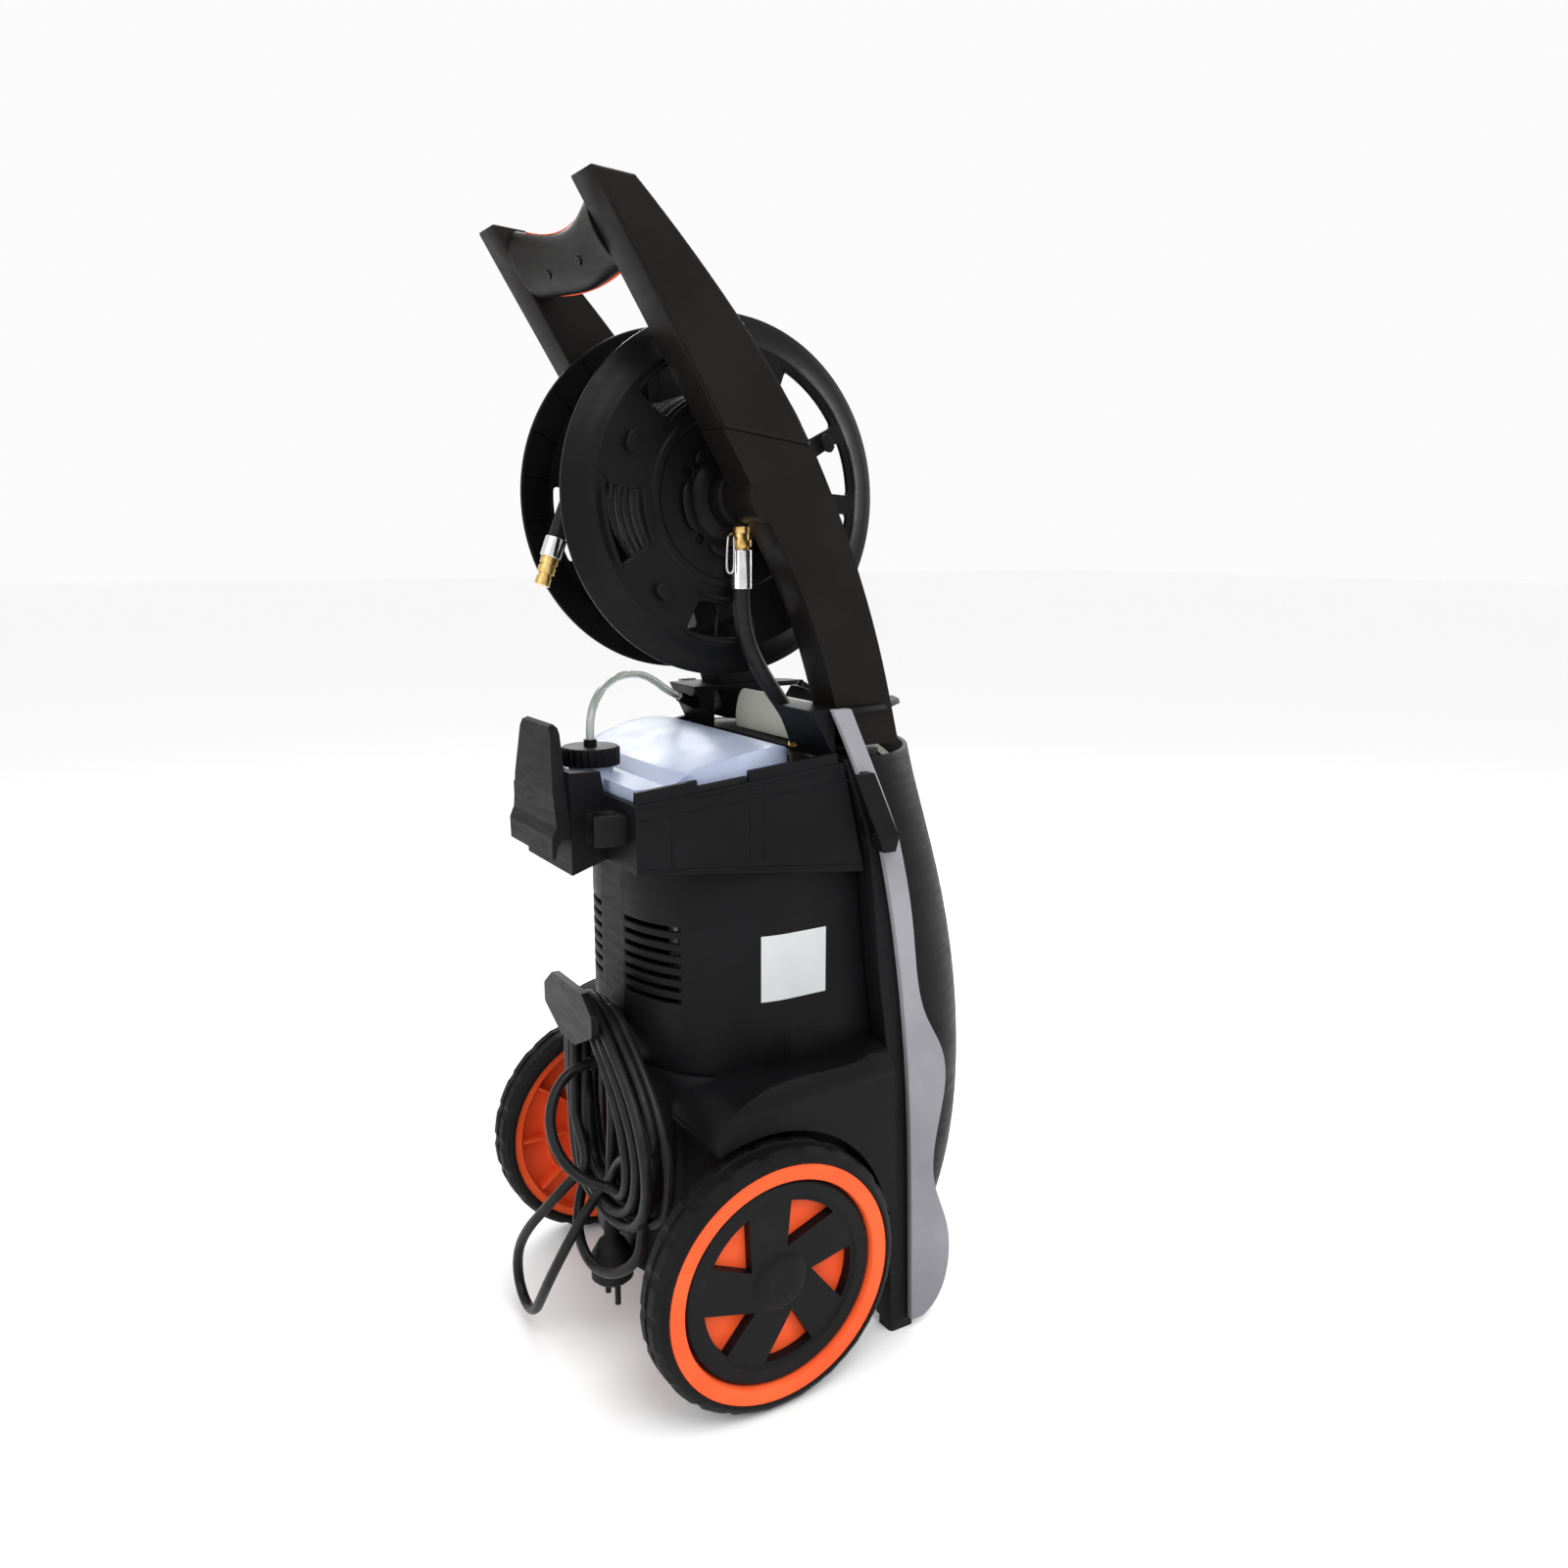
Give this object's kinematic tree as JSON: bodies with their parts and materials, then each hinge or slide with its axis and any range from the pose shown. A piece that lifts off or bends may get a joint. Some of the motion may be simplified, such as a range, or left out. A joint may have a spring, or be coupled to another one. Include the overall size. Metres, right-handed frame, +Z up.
{
  "type": "electric pressure washer",
  "caption": "Upright electric pressure washer on wheels with a crank hose reel between its handle arms, detergent tank, rotary switch, cable hook and garden hose inlet.",
  "frame": {"origin": "centre of the footprint of the machine without its free cords and hoses, on the floor", "axes": "+Z up; -Y is the front; +Y the side where the user stands; -X is the user's right, the crank is on +X"},
  "size_m": [0.344, 0.3787, 0.877],
  "materials": {
    "body_black": "fine spark-eroded grain",
    "arm_black": "smooth satin",
    "trim_black": "satin",
    "strip_grey": "satin",
    "panel_light": "satin",
    "label": "plain printed film without text",
    "tank": "translucent moulded polyethylene",
    "orange": "moulded in colour",
    "wheel_dark": "satin",
    "tyre": "hard black plastic tread",
    "rubber": "matt",
    "hose": "smooth",
    "cord": "smooth",
    "tube_clear": "clear soft tube",
    "steel": "zinc plated",
    "chrome": "crimped and plated",
    "brass": "machined",
    "alloy": "cast"
  },
  "bodies": {
    "machine": {"axle": "steel", "axle_fixings": "steel", "base": "body_black", "motor_housing": "body_black", "rating_label": "label", "upper_housing": "body_black", "rear_hook": "body_black", "lance_clips": "body_black", "detergent_tank": "tank", "tank_spout": "trim_black", "side_frames": "body_black", "side_strips": "strip_grey", "side_hooks": "trim_black", "foot_pads": "rubber", "front_cover": "body_black", "lower_arm_right": "arm_black", "lower_arm_left": "arm_black", "upper_arm_right": "arm_black", "upper_arm_left": "arm_black", "arm_sockets": "body_black", "front_deck": "body_black", "switch_panel": "panel_light", "switch_box": "trim_black", "grip_shell": "arm_black", "grip_insert": "orange", "swivel": "brass", "hose_fittings": "brass", "jumper_ferrule": "chrome", "jumper_hose": "hose", "detergent_tube": "tube_clear", "tube_port": "trim_black", "cable_hook": "trim_black", "cord_gland": "rubber", "lead_start": "cord", "lead_loop": "cord", "lead_bight": "cord", "cord_hank": "cord", "power_plug": "rubber", "motor_stator": "steel", "pump": "alloy", "water_inlet": "brass"},
    "wheel_right": {"tyre_right": "tyre", "rim_right": "orange", "wheel_cover_right": "wheel_dark"},
    "wheel_left": {"tyre_left": "tyre", "rim_left": "orange", "wheel_cover_left": "wheel_dark"},
    "reel": {"reel_flange_right": "trim_black", "reel_flange_left": "trim_black", "reel_drum": "trim_black", "reel_shaft": "steel", "crank": "trim_black", "hose_pack": "hose", "hose_tail": "hose", "tail_ferrule": "chrome", "tail_nipple": "brass"},
    "knob": {"crank_knob": "trim_black"},
    "switch": {"switch_knob": "trim_black"},
    "cap": {"tank_cap": "trim_black"},
    "rotor": {"motor_rotor": "steel"}
  },
  "joints": [
    {"name": "wheel_right_spin", "type": "hinge", "parent": "machine", "child": "wheel_right", "pos_m": [0, 0.065, 0.105], "axis": [1, 0, 0], "continuous": true},
    {"name": "wheel_left_spin", "type": "hinge", "parent": "machine", "child": "wheel_left", "pos_m": [0, 0.065, 0.105], "axis": [1, 0, 0], "continuous": true},
    {"name": "reel_spin", "type": "hinge", "parent": "machine", "child": "reel", "pos_m": [0, 0.035, 0.678], "axis": [1, 0, 0], "continuous": true},
    {"name": "knob_spin", "type": "hinge", "parent": "reel", "child": "knob", "pos_m": [0, 0.02525, 0.5986], "axis": [1, 0, 0], "continuous": true},
    {"name": "switch_turn", "type": "hinge", "parent": "machine", "child": "switch", "pos_m": [0, -0.06, 0.5065], "axis": [0, -0.5501, 0.8351], "range_deg": [0, 90]},
    {"name": "cap_turn", "type": "hinge", "parent": "machine", "child": "cap", "pos_m": [0, 0.134, 0.478], "axis": [0, 0, 1], "range_deg": [0, 360]},
    {"name": "rotor_spin", "type": "hinge", "parent": "machine", "child": "rotor", "pos_m": [0, 0.005, 0.3], "axis": [0, 0, 1], "continuous": true}
  ]
}
